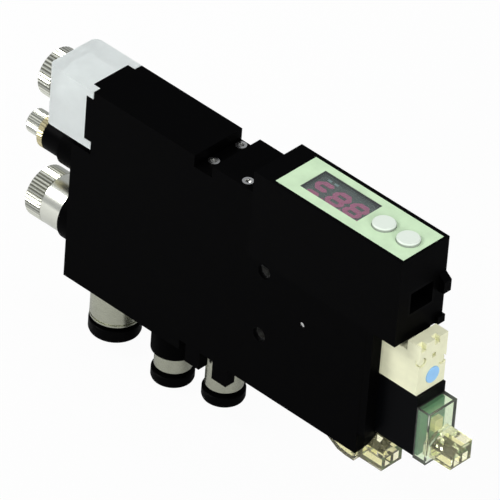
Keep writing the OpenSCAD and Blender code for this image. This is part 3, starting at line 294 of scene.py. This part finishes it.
FINISHES = {
    black: ["valve_body", "filter_block", "end_plate"],
    black_case: ["display_case"],
    black_part: ["needle_housing", "switch_socket"],
    black_ring: ["exhaust_ring", "vacuum_ring", "supply_ring"],
    black_coil: ["supply_coil", "release_coil"],
    rubber: ["cover_gasket", "thumb_washer", "needle_seal", "cap_seal", "cartridge_seals",
             "tube_seals", "end_gasket", "check_disc"],
    steel: ["mount_bushes", "passage_plug", "check_spring", "supply_spring", "release_spring",
            "tube_collets", "supply_plunger", "release_plunger"],
    screw_steel: ["body_screws"],
    shaded_fitting_metal: ["exhaust_fitting", "vacuum_fitting", "supply_fitting"],
    nut_brass: ["lock_nut"],
    brass: ["nozzle", "check_seat"],
    aluminium: ["diffuser", "ejector_sleeve", "supply_spool", "release_spool"],
    label: ["label_panel"],
    button: ["button_down", "button_up"],
    cream: ["supply_pilot_base", "release_pilot_base"],
    blue: ["supply_override", "release_override"],
    board: ["switch_board", "pilot_boards"],
    sensor: ["pressure_sensor"],
    fibre: ["filter_element"],
    digits_back: ["digit_block"],
    cover_clear: ["filter_cover"],
    window: ["display_window"],
    pilot_clear: ["supply_pilot_cover"],
    plug_clear: ["supply_plug", "release_plug", "release_pilot_cover"],
    pin_metal: ["contact_pins"],
}


def dress(shader, names):
    for name in names:
        mesh = nodes[name].data
        mesh.materials.clear()
        mesh.materials.append(shader.material)


# ---- Small pieces -------------------------------------------------------------------------------

def add_piece(name, bm, shader, body):
    mesh = bpy.data.meshes.new(name)
    bm.to_mesh(mesh)
    bm.free()
    mesh.materials.append(shader.material)
    piece = bpy.data.objects.new(name, mesh)
    bpy.context.scene.collection.objects.link(piece)
    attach(piece, body)
    return piece


def add_prism(bm, outline, z0, z1):
    """An upright prism over an outline of (x, y) points."""
    low = [bm.verts.new((x, y, z0)) for x, y in outline]
    high = [bm.verts.new((x, y, z1)) for x, y in outline]
    bm.faces.new(list(reversed(low)))
    bm.faces.new(high)
    count = len(outline)
    for i in range(count):
        j = (i + 1) % count
        bm.faces.new((low[i], low[j], high[j], high[i]))


def bar(x0, y0, x1, y1, half, slant):
    """A six-sided display segment between two points, leaned by slant."""
    length = math.hypot(x1 - x0, y1 - y0)
    ux, uy = (x1 - x0) / length, (y1 - y0) / length
    px, py = -uy * half, ux * half
    points = [(x0, y0), (x0 + ux * half - px, y0 + uy * half - py), (x1 - ux * half - px, y1 - uy * half - py),
              (x1, y1), (x1 - ux * half + px, y1 - uy * half + py), (x0 + ux * half + px, y0 + uy * half + py)]
    return [(x + y * slant, y) for x, y in points]


def make_digits():
    """Three seven-segment digits and two small lamps on the digit block, just under the window."""
    low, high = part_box("display_window")
    _, block_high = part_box("digit_block")
    z0, z1 = block_high.z, block_high.z + 0.00008
    segments = {"a": (0, 1, 1, 1), "b": (1, 0.5, 1, 1), "c": (1, 0, 1, 0.5), "d": (0, 0, 1, 0),
                "e": (0, 0, 0, 0.5), "f": (0, 0.5, 0, 1), "g": (0, 0.5, 1, 0.5)}
    shown = ["afgd", "abcdefg", "abcdefg"]
    lit = Shader("digit_red", (0.42, 0.045, 0.17), 0.5)
    lit.set("Emission Color", (0.45, 0.04, 0.17, 1))
    lit.set("Emission Strength", 0.42)
    lit.vary_color(0.15, 2000)
    width, tall, pitch, half = 3.9 * MM, 5.0 * MM, 5.9 * MM, 0.72 * MM
    origin_x, origin_y = low.x + 1.3 * MM, low.y + 1.3 * MM
    bm = bmesh.new()
    for place, names in enumerate(shown):
        for name in names:
            x0, y0, x1, y1 = segments[name]
            outline = bar(x0 * width, y0 * tall, x1 * width, y1 * tall, half, 0.1)
            add_prism(bm, [(origin_x + place * pitch + x, origin_y + y) for x, y in outline], z0, z1)
        dot_x = origin_x + place * pitch + 4.8 * MM
        add_prism(bm, [(dot_x, origin_y - half), (dot_x + half, origin_y - half),
                       (dot_x + half, origin_y), (dot_x, origin_y)], z0, z1)
    add_piece("display_digits", bm, lit, "unit")
    bm = bmesh.new()
    for x in (2.2 * MM, 4.4 * MM):
        x0, y0 = low.x + x, high.y - 1.7 * MM
        add_prism(bm, [(x0, y0), (x0 + 1.2 * MM, y0), (x0 + 1.2 * MM, y0 + 0.7 * MM), (x0, y0 + 0.7 * MM)], z0, z1)
    add_piece("display_lamps", bm, lamp_grey, "unit")


def add_box(bm, x, y, z):
    add_prism(bm, [(x[0], y[0]), (x[1], y[0]), (x[1], y[1]), (x[0], y[1])], z[0], z[1])


def make_pilot_parts():
    """A lamp on the board inside the clear cover of the upright pilot valve."""
    low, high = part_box("supply_pilot_cover")
    face = low.x + 1.05 * MM
    mid = (low.y + high.y) / 2
    bm = bmesh.new()
    add_box(bm, (face, face + 1.6 * MM), (mid - 1.2 * MM, mid + 1.6 * MM), (high.z - 8 * MM, high.z - 4.5 * MM))
    add_piece("pilot_lamp", bm, lamp_yellow, "unit")


# ---- Stage --------------------------------------------------------------------------------------

def make_springs():
    """Puts a copy of each spring, with a mesh of its own, on its joint's parent body and hides the original."""
    for joint in frame["record"]["behaviour"]["joints"]:
        for soft in joint.get("deforming_nodes", []):
            name = soft["node"]
            letter = soft["mode"][-1]
            index = "xyz".index(letter)
            low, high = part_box(name)
            anchor = list((low + high) / 2)
            anchor[index] = soft["fixed_end_%s_m" % letter]
            piece = bpy.data.objects.new(name + "_coils", nodes[name].data.copy())
            bpy.context.scene.collection.objects.link(piece)
            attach(piece, joint["parent"])
            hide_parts(name)
            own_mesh(piece)


def seen_directly(tree):
    """1 for rays from the camera, straight or through something clear, else 0."""
    path = tree.nodes.new("ShaderNodeLightPath")
    first = tree.nodes.new("ShaderNodeMath")
    first.operation = "MAXIMUM"
    tree.links.new(path.outputs["Is Camera Ray"], first.inputs[0])
    tree.links.new(path.outputs["Is Transmission Ray"], first.inputs[1])
    return first.outputs[0]


def make_world():
    world = bpy.data.worlds.new("studio")
    bpy.context.scene.world = world
    world.use_nodes = True
    tree = world.node_tree
    background = tree.nodes["Background"]
    background.inputs["Color"].default_value = (0.93, 0.95, 1, 1)
    background.inputs["Strength"].default_value = 0.42
    white = tree.nodes.new("ShaderNodeBackground")
    white.inputs["Strength"].default_value = 1
    mix = tree.nodes.new("ShaderNodeMixShader")
    tree.links.new(seen_directly(tree), mix.inputs["Fac"])
    tree.links.new(background.outputs[0], mix.inputs[1])
    tree.links.new(white.outputs[0], mix.inputs[2])
    tree.links.new(mix.outputs[0], tree.nodes["World Output"].inputs["Surface"])


def make_floor():
    low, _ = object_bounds()
    size = 3.0
    bm = bmesh.new()
    bmesh.ops.create_grid(bm, x_segments=1, y_segments=1, size=size)
    mesh = bpy.data.meshes.new("floor")
    bm.to_mesh(mesh)
    bm.free()
    shader = Shader("floor_white", (0.6, 0.6, 0.6), 0.8, specular=0.2)
    tree = shader.tree
    split = tree.nodes.new("ShaderNodeSeparateXYZ")
    tree.links.new(shader.place, split.inputs[0])
    # Painted shade: the floor goes from light at -x to dark at +x, darkening what the fittings reflect and the
    # light bounced from that side.
    floor_shade_across = tree.nodes.new("ShaderNodeMapRange")
    floor_shade_across.inputs["From Min"].default_value = -0.25
    floor_shade_across.inputs["From Max"].default_value = 0.2
    tree.links.new(split.outputs["X"], floor_shade_across.inputs["Value"])
    tree.links.new(shader.ramp(floor_shade_across.outputs["Result"], (0.82, 0.82, 0.82), (0.3, 0.3, 0.3), 0, 1),
                   shader.surface.inputs["Base Color"])
    glow = tree.nodes.new("ShaderNodeEmission")
    glow.inputs["Strength"].default_value = 1
    mix = tree.nodes.new("ShaderNodeMixShader")
    share = tree.nodes.new("ShaderNodeMath")
    share.operation = "MULTIPLY"
    share.inputs[1].default_value = 0.96
    tree.links.new(seen_directly(tree), share.inputs[0])
    tree.links.new(share.outputs[0], mix.inputs["Fac"])
    tree.links.new(shader.surface.outputs[0], mix.inputs[1])
    tree.links.new(glow.outputs[0], mix.inputs[2])
    tree.links.new(mix.outputs[0], tree.nodes["Material Output"].inputs["Surface"])
    mesh.materials.append(shader.material)
    floor = bpy.data.objects.new("floor", mesh)
    bpy.context.scene.collection.objects.link(floor)
    floor.location.z = low.z - 0.0005


def add_softbox(name, place, size, watts, target=(-0.012, -0.008, 0.0)):
    data = bpy.data.lights.new(name, "AREA")
    data.shape = "RECTANGLE"
    data.size, data.size_y = size
    data.energy = watts
    lamp = bpy.data.objects.new(name, data)
    bpy.context.scene.collection.objects.link(lamp)
    lamp.location = place
    lamp.rotation_euler = (Vector(place) - Vector(target)).to_track_quat("Z", "Y").to_euler()


def make_lights():
    add_softbox("key", (-0.72, -0.72, 0.85), (0.5, 0.4), 8)
    add_softbox("front", (0.1, -1.2, 0.5), (0.6, 0.4), 4)
    add_softbox("right", (1.1, -0.2, 0.45), (0.4, 0.4), 7)
    add_softbox("top", (0.35, 0.25, 1.2), (0.4, 0.3), 3)


place_camera()
for shader, names in FINISHES.items():
    dress(shader, names)
for name, shader in knurls.items():
    dress(shader, [name])
make_springs()
make_digits()
make_pilot_parts()
make_world()
make_floor()
make_lights()
bpy.context.scene.view_settings.view_transform = "Standard"
